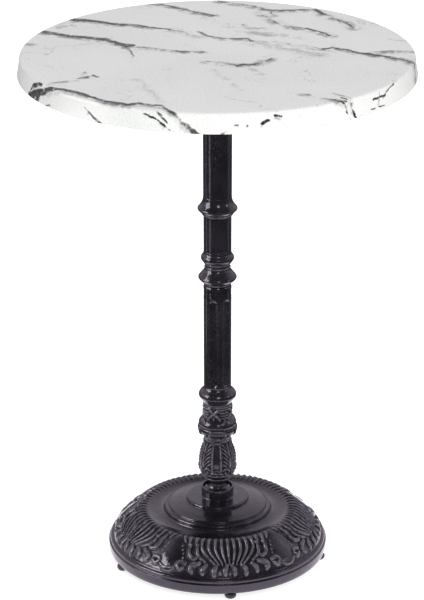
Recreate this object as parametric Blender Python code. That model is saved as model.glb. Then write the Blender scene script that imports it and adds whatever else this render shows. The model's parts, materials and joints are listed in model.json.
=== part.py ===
"""Bistro table: a moulded round top on a stacked cast column and a dished round base.

The frame has its origin on the floor under the column, +Z up, and its front along -Y.
A threaded rod down the hollow column clamps the spider, the castings and the base together.
Five levelling feet screw into bosses under the base's edge.
"""

import math

import bmesh
import bpy
from mathutils import Matrix

# --- driving dimensions, in metres ---
HEIGHT = 1.105
TOP_RADIUS = 0.400
RIM_DROP = 0.040
RIM_FLARE = 0.0054
RIM_WALL = 0.010
EDGE_ROUND = 0.0065
PANEL_THICKNESS = 0.018

BASE_RADIUS = 0.2315
BASE_LIFT = 0.0125
SOCKET_RIM = 0.1535
SOCKET_FLOOR = 0.1385
CLAMP_BOSS_FACE = 0.085

TUBE_RADIUS = 0.0298
TUBE_BORE = 0.0255
SHAFT_RADIUS = 0.0285
COLUMN_BORE = 0.0215
SPIGOT_BORE = 0.0175
SPIGOT_LENGTH = 0.008
COLUMN_LENGTHS = {
    "baluster": 0.1270,
    "leaf_collar": 0.0790,
    "lower_knop": 0.0385,
    "fluted_shaft": 0.2275,
    "double_knop": 0.0755,
    "plain_drum": 0.0740,
    "bell_collar": 0.0430,
    "upper_tube": 0.2370,
}

FLUTE_COUNT = 6
FLUTE_PHASE = -18.0
FLUTE_HALF_WIDTH = 17.5
FLUTE_DEPTH = 0.0024
FLUTE_MARGIN_LOW = 0.004
FLUTE_MARGIN_HIGH = 0.028

ARM_COUNT = 4
ARM_START = 0.022
ARM_REACH = 0.172
ARM_THICKNESS = 0.007
ARM_ROOT_WIDTH = 0.032
ARM_TIP_WIDTH = 0.024
RIB_WIDTH = 0.006
RIB_REACH = 0.096
SCREW_CIRCLES = (0.116, 0.158)
SCREW_RADIUS = 0.0021
SCREW_HEAD_RADIUS = 0.0045
SCREW_HEAD_HEIGHT = 0.003
PILOT_DEPTH = 0.013

ROD_RADIUS = 0.006
ROD_HOLE_RADIUS = 0.0075
ROD_TAIL = 0.066
NUT_FLATS = 0.019
NUT_HEIGHT = 0.010
WASHER_RADIUS = 0.013
WASHER_THICKNESS = 0.0022

FOOT_COUNT = 5
FOOT_CIRCLE = 0.2195
FOOT_PHASE = 7.0
PAD_RADIUS = 0.0125
STUD_RADIUS = 0.004
STUD_TOP = 0.030
STUD_FOOT = 0.006
BOSS_RADIUS = 0.0095
BOSS_TOP = 0.0335

GAP = 0.0003
EDGE = 0.001

SEGMENTS_TOP = 80
SEGMENTS_BASE = 48
SEGMENTS_COLUMN = 24
SEGMENTS_FLUTED = 54
SEGMENTS_SMALL = 12
SHARP_ANGLE = math.radians(35)

PANEL_UNDERSIDE = HEIGHT - PANEL_THICKNESS
ARM_TOP = PANEL_UNDERSIDE - GAP
ARM_UNDERSIDE = ARM_TOP - ARM_THICKNESS
TUBE_TOP = SOCKET_FLOOR + sum(COLUMN_LENGTHS.values())


# --- materials ---
def finish(name, colour, roughness, metallic):
    material = bpy.data.materials.new(name)
    material.use_nodes = True
    shader = material.node_tree.nodes["Principled BSDF"]
    shader.inputs["Base Color"].default_value = (*colour, 1.0)
    shader.inputs["Roughness"].default_value = roughness
    shader.inputs["Metallic"].default_value = metallic
    return material


# --- shape helpers ---
def smooth_run(start, end, steps=5, ease=1.0):
    """Points of (radius, height) after start, up to end, easing in and out of the radius."""
    points = []
    for step in range(1, steps + 1):
        part = step / steps
        share = 0.5 - 0.5 * math.cos(math.pi * part**ease)
        radius = start[0] + (end[0] - start[0]) * share
        height = start[1] + (end[1] - start[1]) * part
        points.append((radius, height))
    return points


def arc(centre, radii, start, end, steps):
    """Points of an elliptical arc from start to end, in degrees from the outward direction."""
    points = []
    for step in range(steps + 1):
        angle = math.radians(start + (end - start) * step / steps)
        radius = centre[0] + radii[0] * math.cos(angle)
        height = centre[1] + radii[1] * math.sin(angle)
        points.append((radius, height))
    return points


def add_object(name, mesh, material, place=(0.0, 0.0, 0.0)):
    mesh.materials.append(material)
    thing = bpy.data.objects.new(name, mesh)
    thing.location = place
    bpy.context.collection.objects.link(thing)
    mesh.shade_smooth()
    mesh.set_sharp_from_angle(angle=SHARP_ANGLE)
    return thing


def to_mesh(bm, name):
    bmesh.ops.recalc_face_normals(bm, faces=bm.faces)
    mesh = bpy.data.meshes.new(name)
    bm.to_mesh(mesh)
    bm.free()
    return mesh


def turned_mesh(name, outline, segments, ring, shape=None):
    """A mesh turned about Z. A ring's outline closes on itself; otherwise its ends are capped.

    shape(angle, radius, height) may change the radius round the axis.
    """
    bm = bmesh.new()
    loops = []
    for radius, height in outline:
        loop = []
        for index in range(segments):
            angle = 2 * math.pi * index / segments
            out = shape(angle, radius, height) if shape else radius
            loop.append(bm.verts.new((out * math.cos(angle), out * math.sin(angle), height)))
        loops.append(loop)
    pairs = list(zip(loops[:-1], loops[1:]))
    if ring:
        pairs.append((loops[-1], loops[0]))
    else:
        bm.faces.new(loops[0])
        bm.faces.new(loops[-1])
    for above, below in pairs:
        for index in range(segments):
            after = (index + 1) % segments
            bm.faces.new((above[index], above[after], below[after], below[index]))
    return to_mesh(bm, name)


def prism(bm, corners, low, high):
    """Adds an upright prism over the flat outline corners."""
    bottom = [bm.verts.new((x, y, low)) for x, y in corners]
    top = [bm.verts.new((x, y, high)) for x, y in corners]
    count = len(corners)
    bm.faces.new(bottom[::-1])
    bm.faces.new(top)
    for index in range(count):
        after = (index + 1) % count
        bm.faces.new((bottom[index], bottom[after], top[after], top[index]))


def around(count, radius, phase):
    """Places evenly round the axis; 0 degrees faces the front, and angles turn to the right."""
    places = []
    for index in range(count):
        angle = math.radians(phase + 360 * index / count)
        places.append((radius * math.sin(angle), -radius * math.cos(angle)))
    return places


def posts(name, places, radius, low, high, segments=16):
    """Upright round posts in one mesh, for cutting or for adding to a part."""
    bm = bmesh.new()
    for x, y in places:
        corners = []
        for index in range(segments):
            angle = 2 * math.pi * (index + 0.5) / segments
            corners.append((x + radius * math.cos(angle), y + radius * math.sin(angle)))
        prism(bm, corners, low, high)
    return to_mesh(bm, name)


def combine(target, mesh, operation):
    """Adds a mesh to a part, or cuts it from it, with a Boolean whose tool stays hidden."""
    tool = bpy.data.objects.new(mesh.name, mesh)
    bpy.context.collection.objects.link(tool)
    tool.hide_render = True
    tool.display_type = "WIRE"
    boolean = target.modifiers.new(mesh.name, "BOOLEAN")
    boolean.operation = operation
    boolean.solver = "EXACT"
    boolean.object = tool


# --- top and what carries it ---
def make_top(material, screw_places):
    lip = TOP_RADIUS - RIM_WALL
    brow = TOP_RADIUS - RIM_FLARE
    floor = HEIGHT - RIM_DROP
    outline = arc((brow - EDGE_ROUND, HEIGHT - EDGE_ROUND), (EDGE_ROUND, EDGE_ROUND), 90, 8, 4)
    outline += [(TOP_RADIUS, floor + EDGE), (TOP_RADIUS - EDGE, floor), (lip + EDGE, floor)]
    outline += [(lip, floor + EDGE)]
    outline += arc((lip - 0.012, PANEL_UNDERSIDE - 0.008), (0.008, 0.008), 0, 90, 3)
    top = add_object(
        "table_top", turned_mesh("table_top", outline, SEGMENTS_TOP, ring=False), material
    )
    holes = posts(
        "pilot_holes",
        screw_places,
        SCREW_RADIUS + GAP,
        PANEL_UNDERSIDE - 0.005,
        PANEL_UNDERSIDE + PILOT_DEPTH,
        segments=SEGMENTS_SMALL,
    )
    combine(top, holes, "DIFFERENCE")


def repeat_round(bm, count):
    """Copies what is in bm so that it stands count times evenly round the axis."""
    one = bm.verts[:] + bm.edges[:] + bm.faces[:]
    for turn in range(1, count):
        copy = bmesh.ops.duplicate(bm, geom=one)["geom"]
        verts = [item for item in copy if isinstance(item, bmesh.types.BMVert)]
        spin = Matrix.Rotation(2 * math.pi * turn / count, 4, "Z")
        bmesh.ops.transform(bm, matrix=spin, verts=verts)


def spider_arms():
    """Tapered flat arms with rounded tips."""
    bm = bmesh.new()
    root, tip = ARM_ROOT_WIDTH / 2, ARM_TIP_WIDTH / 2
    centre = ARM_REACH - tip
    plate = [(ARM_START, -root)]
    plate += [
        (centre + tip * math.cos(math.radians(angle)), tip * math.sin(math.radians(angle)))
        for angle in range(-90, 91, 30)
    ]
    plate += [(ARM_START, root)]
    prism(bm, plate, ARM_UNDERSIDE, ARM_TOP - EDGE)
    repeat_round(bm, ARM_COUNT)
    return to_mesh(bm, "spider_arms")


def spider_ribs():
    """A stiffening rib under each arm, deepest at the hub."""
    bm = bmesh.new()
    half = RIB_WIDTH / 2
    high = ARM_UNDERSIDE + 0.002
    start = ARM_START + 0.004
    side = [(start, ARM_UNDERSIDE - 0.018), (RIB_REACH - 0.010, ARM_UNDERSIDE - 0.003)]
    side += [(RIB_REACH, high), (start, high)]
    near = [bm.verts.new((x, -half, z)) for x, z in side]
    far = [bm.verts.new((x, half, z)) for x, z in side]
    bm.faces.new(near)
    bm.faces.new(far[::-1])
    for index in range(len(side)):
        after = (index + 1) % len(side)
        bm.faces.new((near[after], near[index], far[index], far[after]))
    repeat_round(bm, ARM_COUNT)
    return to_mesh(bm, "spider_ribs")


def make_spider(material, screw_places):
    seat = TUBE_TOP + 0.028
    recess = 0.017
    outline = [(recess, ARM_TOP), (0.045, ARM_TOP), (0.045, ARM_UNDERSIDE)]
    outline += smooth_run((0.045, ARM_UNDERSIDE), (0.033, TUBE_TOP + 0.016), 4)
    outline += [(0.036, TUBE_TOP + 0.012), (0.036, TUBE_TOP + GAP)]
    outline += [(TUBE_BORE - GAP, TUBE_TOP + GAP), (TUBE_BORE - GAP, TUBE_TOP - 0.010)]
    outline += [(0.019, TUBE_TOP - 0.010), (0.019, TUBE_TOP + 0.006)]
    outline += [(ROD_HOLE_RADIUS, TUBE_TOP + 0.010), (ROD_HOLE_RADIUS, seat), (recess, seat)]
    hub = turned_mesh("top_spider", outline, SEGMENTS_COLUMN, ring=True)
    spider = add_object("top_spider", hub, material)
    combine(spider, spider_arms(), "UNION")
    combine(spider, spider_ribs(), "UNION")
    holes = posts(
        "screw_holes",
        screw_places,
        SCREW_RADIUS + 0.0005,
        ARM_UNDERSIDE - 0.005,
        ARM_TOP + 0.005,
        segments=SEGMENTS_SMALL,
    )
    combine(spider, holes, "DIFFERENCE")
    return seat


def make_top_screws(material, places):
    head_top = ARM_UNDERSIDE - GAP
    head_low = head_top - SCREW_HEAD_HEIGHT
    tip = PANEL_UNDERSIDE + PILOT_DEPTH - 0.001
    outline = [(SCREW_RADIUS * 0.4, tip), (SCREW_RADIUS, tip - 0.003), (SCREW_RADIUS, head_top)]
    outline += [(SCREW_HEAD_RADIUS, head_top), (SCREW_HEAD_RADIUS, head_low + 0.0012)]
    outline += [(SCREW_HEAD_RADIUS * 0.72, head_low)]
    mesh = turned_mesh("top_screw", outline, 8, ring=False)
    mesh.materials.append(material)
    mesh.shade_smooth()
    mesh.set_sharp_from_angle(angle=SHARP_ANGLE)
    for index, (x, y) in enumerate(places, start=1):
        screw = bpy.data.objects.new(f"top_screw_{index}", mesh)
        screw.location = (x, y, 0.0)
        bpy.context.collection.objects.link(screw)


# --- column castings, each drawn from its own lower face at height 0 ---
def casting_outline(outside, length):
    """Closes an outside outline, top to bottom, with the bore and a spigot at the bottom."""
    spigot = COLUMN_BORE - GAP
    inside = [(spigot, GAP), (spigot, GAP - SPIGOT_LENGTH), (SPIGOT_BORE, GAP - SPIGOT_LENGTH)]
    inside += [(SPIGOT_BORE, 0.006), (COLUMN_BORE, 0.010), (COLUMN_BORE, length)]
    return outside + inside


def upper_tube(length):
    radius = TUBE_RADIUS
    return [(radius, length), (radius - 0.0004, GAP), (TUBE_BORE, GAP), (TUBE_BORE, length)]


def bell_collar(length):
    """A flared collar whose upper lip stands inside the tube above it."""
    outside = [(TUBE_BORE - GAP, length + 0.010), (TUBE_BORE - GAP, length)]
    outside += [(TUBE_RADIUS, length)]
    outside += smooth_run((TUBE_RADIUS, length - 0.002), (0.0405, length - 0.0225), 4)
    outside += smooth_run((0.0405, length - 0.0265), (0.0312, length - 0.0345), 3)
    outside += [(0.0316, 0.0060), (0.0300, 0.0030), (0.0300, GAP)]
    return casting_outline(outside, length + 0.010)


def plain_drum(length):
    radius = SHAFT_RADIUS
    outside = [(radius, length), (radius, GAP)]
    return casting_outline(outside, length)


def double_knop(length):
    outside = [(SHAFT_RADIUS, length)]
    outside += smooth_run((SHAFT_RADIUS, length - 0.004), (0.0341, length - 0.0155), 3)
    outside += smooth_run((0.0341, length - 0.0185), (0.0258, length - 0.0285), 3)
    outside += [(0.0258, length - 0.0360)]
    outside += smooth_run((0.0258, length - 0.0385), (0.0391, 0.0200), 4)
    outside += smooth_run((0.0391, 0.0170), (0.0272, 0.0035), 4)
    outside += [(0.0272, GAP)]
    return casting_outline(outside, length)


def fluted_shaft(length):
    low = FLUTE_MARGIN_LOW
    high = length - FLUTE_MARGIN_HIGH
    outside = [(SHAFT_RADIUS - 0.0008, length), (SHAFT_RADIUS + 0.0005, length - 0.003)]
    outside += [(SHAFT_RADIUS, length - 0.012)]
    heights = [high + 0.001, high - 0.002, high - 0.006, high - 0.012]
    heights += [high * 0.5, low + 0.012, low + 0.006, low + 0.002, low - 0.001]
    outside += [(SHAFT_RADIUS, height) for height in heights]
    outside += [(SHAFT_RADIUS, GAP)]
    return casting_outline(outside, length)


def flute_shape(length):
    low = FLUTE_MARGIN_LOW
    high = length - FLUTE_MARGIN_HIGH
    pitch = 360 / FLUTE_COUNT
    end_length = 0.010

    def shape(angle, radius, height):
        if radius < SHAFT_RADIUS - 0.0001 or not low < height < high:
            return radius
        from_end = min(height - low, high - height, end_length)
        reach = FLUTE_HALF_WIDTH * math.sqrt(1 - (1 - from_end / end_length) ** 2)
        from_front = math.degrees(angle) + 90 - FLUTE_PHASE
        off = abs((from_front + pitch / 2) % pitch - pitch / 2)
        if off >= reach:
            return radius
        return radius - FLUTE_DEPTH * math.sqrt(1 - (off / FLUTE_HALF_WIDTH) ** 2)

    return shape


def lower_knop(length):
    outside = [(SHAFT_RADIUS, length)]
    outside += smooth_run((SHAFT_RADIUS, length - 0.001), (0.0392, length - 0.0175), 4)
    outside += smooth_run((0.0392, length - 0.0205), (0.0292, 0.0015), 4)
    outside += [(0.0292, GAP)]
    return casting_outline(outside, length)


def leaf_collar(length):
    outside = [(0.0300, length), (0.0300, length - 0.0025), (0.0290, length - 0.0040)]
    outside += [(0.0290, length - 0.0280)]
    outside += smooth_run((0.0290, length - 0.0290), (0.0392, length - 0.0430), 4)
    outside += [(0.0392, length - 0.0460), (0.0378, length - 0.0490)]
    outside += [(0.0402, length - 0.0540), (0.0402, length - 0.0600)]
    outside += smooth_run((0.0402, length - 0.0610), (0.0288, length - 0.0730), 3)
    outside += [(0.0274, 0.0020), (0.0274, GAP)]
    return casting_outline(outside, length)


def baluster(length):
    """A tulip shape over a narrow stem, with a flange that stands in the base's socket."""
    belly_radius, belly_height = 0.0399, 0.0725
    outside = [(0.0274, length)]
    rise = smooth_run((belly_radius, belly_height), (0.0272, length - 0.004), 7, ease=1.25)
    outside += rise[::-1]
    outside += arc((0.020, belly_height), (belly_radius - 0.020, 0.037), 0, -64, 5)
    outside += [(0.0268, 0.0390), (0.0272, 0.0365), (0.0262, 0.0345), (0.0225, 0.0305)]
    outside += [(0.0192, 0.0250), (0.0194, 0.0190), (0.0220, 0.0145), (0.0265, 0.0122)]
    outside += [(0.0285, 0.0112), (0.0285, GAP)]
    inside = [(ROD_HOLE_RADIUS, GAP), (ROD_HOLE_RADIUS, 0.0340), (0.0150, 0.0420)]
    inside += [(COLUMN_BORE, 0.0520), (COLUMN_BORE, length)]
    return outside + inside


def make_column(material):
    makers = {
        "baluster": baluster,
        "leaf_collar": leaf_collar,
        "lower_knop": lower_knop,
        "fluted_shaft": fluted_shaft,
        "double_knop": double_knop,
        "plain_drum": plain_drum,
        "bell_collar": bell_collar,
        "upper_tube": upper_tube,
    }
    foot = SOCKET_FLOOR
    for name, length in COLUMN_LENGTHS.items():
        shape = flute_shape(length) if name == "fluted_shaft" else None
        segments = SEGMENTS_FLUTED if name == "fluted_shaft" else SEGMENTS_COLUMN
        mesh = turned_mesh(name, makers[name](length), segments, ring=True, shape=shape)
        add_object(name, mesh, material, place=(0.0, 0.0, foot))
        foot += length


# --- base ---
def base_outline():
    """The dished base: socket, two steps, a cove, the relief band and the rim, then its inside."""
    rim = BASE_RADIUS
    outside = [(0.0305, SOCKET_RIM - 0.0008), (0.0313, SOCKET_RIM), (0.0332, SOCKET_RIM)]
    outside += [(0.0342, SOCKET_RIM - 0.0012), (0.0342, 0.1335), (0.0362, 0.1312)]
    outside += arc((0.0612, 0.1258), (0.0046, 0.0046), 90, 0, 3)
    outside += [(0.0664, 0.1240), (0.0685, 0.1225), (0.0850, 0.1195), (0.0990, 0.1158)]
    outside += arc((0.1000, 0.1120), (0.0036, 0.0036), 75, -15, 3)
    outside += arc((0.1082, 0.1062), (0.0043, 0.0043), 98, -30, 3)
    outside += [(0.1140, 0.1002), (0.1185, 0.0978), (0.1240, 0.0968), (0.1350, 0.0968)]
    outside += [(0.1480, 0.1005), (0.1540, 0.1030)]
    outside += [(0.1580, 0.1035), (0.1680, 0.0995), (0.1800, 0.0910), (0.1950, 0.0790)]
    outside += [(0.2100, 0.0650), (0.2170, 0.0550), (0.2205, 0.0485), (0.2213, 0.0448)]
    outside += arc((0.2238, 0.0390), (0.0044, 0.0044), 98, -25, 3)
    outside += [(0.2281, 0.0352), (0.2292, 0.0344), (rim - 0.0010, 0.0340), (rim, 0.0325)]
    outside += [(rim, 0.0220), (rim - 0.0030, BASE_LIFT)]
    inside = [(rim - 0.0085, BASE_LIFT), (rim - 0.0085, 0.0300)]
    inside += [(0.2190, 0.0420), (0.2100, 0.0545), (0.1950, 0.0705), (0.1800, 0.0825)]
    inside += [(0.1680, 0.0905), (0.1560, 0.0940), (0.1350, 0.0900), (0.1165, 0.0915)]
    inside += [(0.1080, 0.0975)]
    inside += [(0.1000, 0.1080), (0.0700, 0.1140), (0.0620, 0.1185), (0.0590, 0.1230)]
    inside += [(0.0350, 0.1240), (0.0300, 0.1210), (0.0270, CLAMP_BOSS_FACE)]
    inside += [(ROD_HOLE_RADIUS, CLAMP_BOSS_FACE), (ROD_HOLE_RADIUS, SOCKET_FLOOR)]
    inside += [(0.0295, SOCKET_FLOOR), (0.0305, SOCKET_FLOOR + 0.0010)]
    return outside + inside


def make_base(material, foot_places):
    mesh = turned_mesh("base_casting", base_outline(), SEGMENTS_BASE, ring=True)
    base = add_object("base_casting", mesh, material)
    boss_face = BASE_LIFT + 0.0002
    combine(base, posts("foot_bosses", foot_places, BOSS_RADIUS, boss_face, BOSS_TOP), "UNION")
    holes = posts(
        "foot_holes",
        foot_places,
        STUD_RADIUS + GAP,
        BASE_LIFT - 0.005,
        STUD_TOP + 0.002,
        segments=SEGMENTS_SMALL,
    )
    combine(base, holes, "DIFFERENCE")


# --- levelling feet, each turned about its own screw ---
def make_feet(pad_material, stud_material, places):
    pad_top = BASE_LIFT - GAP
    hole = STUD_RADIUS + GAP
    outline = [(0.0095, 0.0), (0.0112, 0.0008), (PAD_RADIUS, 0.0035), (PAD_RADIUS, 0.0080)]
    outline += [(PAD_RADIUS - 0.0012, pad_top - 0.0008), (PAD_RADIUS - 0.0030, pad_top)]
    outline += [(hole, pad_top), (hole, STUD_FOOT - GAP)]
    pad = turned_mesh("foot_pad", outline, 16, ring=False)
    stud_outline = [(STUD_RADIUS - EDGE, STUD_TOP), (STUD_RADIUS, STUD_TOP - EDGE)]
    stud_outline += [(STUD_RADIUS, STUD_FOOT)]
    stud = turned_mesh("foot_stud", stud_outline, SEGMENTS_SMALL, ring=False)
    for mesh, material in ((pad, pad_material), (stud, stud_material)):
        mesh.materials.append(material)
        mesh.shade_smooth()
        mesh.set_sharp_from_angle(angle=SHARP_ANGLE)
    for index, (x, y) in enumerate(places, start=1):
        axis = bpy.data.objects.new(f"foot_axis_{index}", None)
        axis.location = (x, y, 0.0)
        bpy.context.collection.objects.link(axis)
        for kind, mesh in (("pad", pad), ("stud", stud)):
            piece = bpy.data.objects.new(f"foot_{kind}_{index}", mesh)
            piece.parent = axis
            bpy.context.collection.objects.link(piece)


# --- the rod that clamps the stack ---
def hexagon(angle, radius, height):
    """Turns a round outline into a hexagon, apart from the bore."""
    if radius < NUT_FLATS / 2 - 0.001:
        return radius
    sixth = math.pi / 3
    from_flat = (angle + sixth / 2) % sixth - sixth / 2
    return radius / math.cos(from_flat)


def make_clamp(material, seat):
    rod_top = ARM_TOP - 0.0027
    tip = ROD_RADIUS - EDGE
    outline = [(tip, rod_top), (ROD_RADIUS, rod_top - EDGE)]
    outline += [(ROD_RADIUS, ROD_TAIL + EDGE), (tip, ROD_TAIL)]
    add_object("tie_rod", turned_mesh("tie_rod", outline, SEGMENTS_SMALL, ring=False), material)
    bore = ROD_RADIUS + GAP
    washer = [(bore, WASHER_THICKNESS), (WASHER_RADIUS, WASHER_THICKNESS)]
    washer += [(WASHER_RADIUS, 0.0), (bore, 0.0)]
    nut = [(bore, NUT_HEIGHT), (NUT_FLATS / 2, NUT_HEIGHT), (NUT_FLATS / 2, 0.0), (bore, 0.0)]
    top_washer = seat + GAP
    bottom_washer = CLAMP_BOSS_FACE - GAP - WASHER_THICKNESS
    heights = {"top": top_washer, "bottom": bottom_washer}
    nut_heights = {
        "top": top_washer + WASHER_THICKNESS + GAP,
        "bottom": bottom_washer - GAP - NUT_HEIGHT,
    }
    for end, height in heights.items():
        mesh = turned_mesh(f"{end}_washer", washer, SEGMENTS_SMALL, ring=True)
        add_object(f"{end}_washer", mesh, material, place=(0.0, 0.0, height))
        mesh = turned_mesh(f"{end}_nut", nut, SEGMENTS_SMALL, ring=True, shape=hexagon)
        add_object(f"{end}_nut", mesh, material, place=(0.0, 0.0, nut_heights[end]))


def main():
    for thing in list(bpy.data.objects):
        bpy.data.objects.remove(thing, do_unlink=True)
    marble_print = finish("marble_print", (0.86, 0.86, 0.87), 0.28, 0.0)
    enamel = finish("black_enamel", (0.012, 0.011, 0.014), 0.18, 0.0)
    plastic = finish("black_plastic", (0.02, 0.02, 0.021), 0.45, 0.0)
    steel = finish("zinc_steel", (0.55, 0.55, 0.54), 0.35, 1.0)

    screw_places = []
    for radius in SCREW_CIRCLES:
        screw_places += around(ARM_COUNT, radius, 0.0)
    foot_places = around(FOOT_COUNT, FOOT_CIRCLE, FOOT_PHASE)

    make_top(marble_print, screw_places)
    seat = make_spider(enamel, screw_places)
    make_top_screws(steel, screw_places)
    make_column(enamel)
    make_base(enamel, foot_places)
    make_clamp(steel, seat)
    make_feet(plastic, steel, foot_places)


main()
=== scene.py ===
import json
import math

import bpy
import numpy as np
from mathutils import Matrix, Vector

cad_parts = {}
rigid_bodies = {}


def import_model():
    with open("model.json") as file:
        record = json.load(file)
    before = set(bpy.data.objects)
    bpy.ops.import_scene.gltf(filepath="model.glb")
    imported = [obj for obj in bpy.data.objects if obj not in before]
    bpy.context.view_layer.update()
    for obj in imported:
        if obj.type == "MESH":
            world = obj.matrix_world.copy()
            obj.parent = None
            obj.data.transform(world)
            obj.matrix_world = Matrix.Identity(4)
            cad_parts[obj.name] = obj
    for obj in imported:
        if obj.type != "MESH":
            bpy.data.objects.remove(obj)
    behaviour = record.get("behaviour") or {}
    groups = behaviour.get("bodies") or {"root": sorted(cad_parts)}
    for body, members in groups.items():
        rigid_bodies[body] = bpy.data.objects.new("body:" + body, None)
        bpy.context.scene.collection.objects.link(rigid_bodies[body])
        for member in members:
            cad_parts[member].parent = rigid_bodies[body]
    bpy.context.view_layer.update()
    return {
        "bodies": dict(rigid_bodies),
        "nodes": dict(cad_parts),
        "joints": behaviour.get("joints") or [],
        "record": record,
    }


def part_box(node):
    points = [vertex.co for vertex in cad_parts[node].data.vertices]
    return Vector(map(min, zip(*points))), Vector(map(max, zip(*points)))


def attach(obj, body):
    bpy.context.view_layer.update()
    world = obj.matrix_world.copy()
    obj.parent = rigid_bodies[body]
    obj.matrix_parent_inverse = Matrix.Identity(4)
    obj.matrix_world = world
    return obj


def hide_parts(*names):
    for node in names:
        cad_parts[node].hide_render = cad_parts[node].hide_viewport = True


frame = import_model()

MM = 0.001
BODY = "pedestal"
TOP_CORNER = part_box("table_top")[1]
HEIGHT = TOP_CORNER.z
TOP_RADIUS = TOP_CORNER.x


# --- node helpers ---
def wire(tree, kind, inputs=None, **settings):
    """Adds a node. Inputs are given by name or number, as a value or as another node's output."""
    node = tree.nodes.new(kind)
    for key, value in settings.items():
        setattr(node, key, value)
    for key, value in (inputs or {}).items():
        if isinstance(value, bpy.types.NodeSocket):
            tree.links.new(value, node.inputs[key])
        else:
            node.inputs[key].default_value = value
    return node


def maths(tree, operation, *values, clamp=False):
    """One sum on numbers."""
    node = wire(tree, "ShaderNodeMath", dict(enumerate(values)), operation=operation)
    node.use_clamp = clamp
    return node.outputs[0]


def vector_maths(tree, operation, *values):
    """One sum on vectors. For SCALE the second value is a number."""
    scaled = operation == "SCALE"
    inputs = {"Scale" if scaled and index else index: value for index, value in enumerate(values)}
    node = wire(tree, "ShaderNodeVectorMath", inputs, operation=operation)
    return node.outputs["Value" if operation in ("LENGTH", "DISTANCE", "DOT_PRODUCT") else "Vector"]


def noise(tree, where, scale, detail=2.0, roughness=0.5, output="Fac"):
    inputs = {"Vector": where, "Scale": scale, "Detail": detail, "Roughness": roughness}
    return wire(tree, "ShaderNodeTexNoise", inputs).outputs[output]


def remap(tree, value, low, high, to_low=0.0, to_high=1.0):
    """A soft step: to_low where value is at low, to_high where it is at high."""
    inputs = {"Value": value, "From Min": low, "From Max": high, "To Min": to_low, "To Max": to_high}
    return wire(tree, "ShaderNodeMapRange", inputs, interpolation_type="SMOOTHSTEP").outputs["Result"]


def blend_colour(tree, factor, first, second):
    node = wire(tree, "ShaderNodeMix", data_type="RGBA")
    for name, value in (("Factor_Float", factor), ("A_Color", first), ("B_Color", second)):
        socket = next(s for s in node.inputs if s.identifier == name)
        if isinstance(value, bpy.types.NodeSocket):
            tree.links.new(value, socket)
        else:
            socket.default_value = (*value, 1.0) if name != "Factor_Float" else value
    return next(s for s in node.outputs if s.identifier == "Result_Color")


def material(name, **fixed):
    """A new material with its Principled shader and its coordinates on the object."""
    made = bpy.data.materials.new(name)
    made.use_nodes = True
    tree = made.node_tree
    shader = tree.nodes["Principled BSDF"]
    for key, value in fixed.items():
        shader.inputs[key.replace("_", " ")].default_value = value
    where = tree.nodes.new("ShaderNodeTexCoord").outputs["Object"]
    return made, tree, shader, where


def bump(tree, shader, height, distance):
    """Fine relief by the shading alone: height times distance, in metres."""
    node = wire(tree, "ShaderNodeBump", {"Height": height, "Distance": distance, "Strength": 1.0})
    tree.links.new(node.outputs["Normal"], shader.inputs["Normal"])


# --- materials ---
def enamel_material():
    """Glossy black enamel over a sand casting, with swells and dust nibs.

    Crests and the column's small rings are painted lighter as a highlight; grooves are painted darker as
    shade, and are rougher.
    """
    made, tree, shader, where = material(
        "black_enamel", Coat_Weight=0.12, Coat_Roughness=0.04, Specular_IOR_Level=0.5,
        Specular_Tint=(0.95, 0.86, 1.0, 1.0),
    )
    cloud = noise(tree, where, 22.0, 3.0)
    fine = noise(tree, where, 240.0, 2.0)
    crest = wire(tree, "ShaderNodeAttribute", attribute_name="crest").outputs["Fac"]
    patchy = remap(tree, noise(tree, where, 130.0), 0.3, 0.6, 0.30, 1.0)
    painted_crest_highlight = maths(tree, "MULTIPLY", remap(tree, crest, 0.0, 0.55), patchy)
    groove_shade_and_dullness = remap(tree, crest, -0.12, -0.6)
    colour = blend_colour(
        tree, remap(tree, cloud, 0.35, 0.7), (0.0080, 0.0073, 0.0098), (0.0145, 0.0130, 0.0175)
    )
    hazy = remap(tree, noise(tree, where, 9.0, 2.0), 0.45, 0.65, 0.0, 0.55)
    haze = maths(tree, "MULTIPLY", hazy, remap(tree, noise(tree, where, 330.0, 3.0, 0.7), 0.50, 0.66))
    colour = blend_colour(tree, haze, colour, (0.055, 0.050, 0.062))
    # Painted highlight: crests are mixed towards a lighter enamel colour, in patches.
    colour = blend_colour(tree, painted_crest_highlight, colour, (0.088, 0.080, 0.099))
    # Painted shade: grooves are mixed towards near-black. The added roughness below is real dullness.
    colour = blend_colour(tree, groove_shade_and_dullness, colour, (0.0035, 0.0033, 0.0040))
    tree.links.new(colour, shader.inputs["Base Color"])
    gloss = remap(tree, cloud, 0.3, 0.75, 0.11, 0.21)
    dull = maths(tree, "MULTIPLY", groove_shade_and_dullness, 0.35)
    tree.links.new(maths(tree, "ADD", gloss, dull), shader.inputs["Roughness"])
    nibs = wire(
        tree, "ShaderNodeTexVoronoi", {"Vector": where, "Scale": 90.0, "Randomness": 1.0}
    ).outputs["Distance"]
    nib = remap(tree, nibs, 0.02, 0.14, 1.0, 0.0)
    chosen = remap(tree, noise(tree, where, 38.0, 0.0), 0.46, 0.52)
    swell = noise(tree, where, 70.0, 1.0)
    height = maths(tree, "ADD", maths(tree, "MULTIPLY", swell, 0.9), maths(tree, "MULTIPLY", fine, 0.22))
    height = maths(tree, "ADD", height, maths(tree, "MULTIPLY", maths(tree, "MULTIPLY", nib, chosen), 2.4))
    bump(tree, shader, height, 0.00055)
    return made


def steel_material():
    """Zinc-plated steel with a faint yellow bloom and fine turning marks."""
    made, tree, shader, where = material("zinc_steel", Metallic=1.0)
    bloom = noise(tree, where, 90.0, 3.0)
    colour = blend_colour(tree, remap(tree, bloom, 0.35, 0.7), (0.52, 0.53, 0.54), (0.62, 0.58, 0.47))
    tree.links.new(colour, shader.inputs["Base Color"])
    tree.links.new(remap(tree, bloom, 0.3, 0.7, 0.28, 0.46), shader.inputs["Roughness"])
    bump(tree, shader, noise(tree, where, 900.0, 2.0), 0.00006)
    return made


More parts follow.
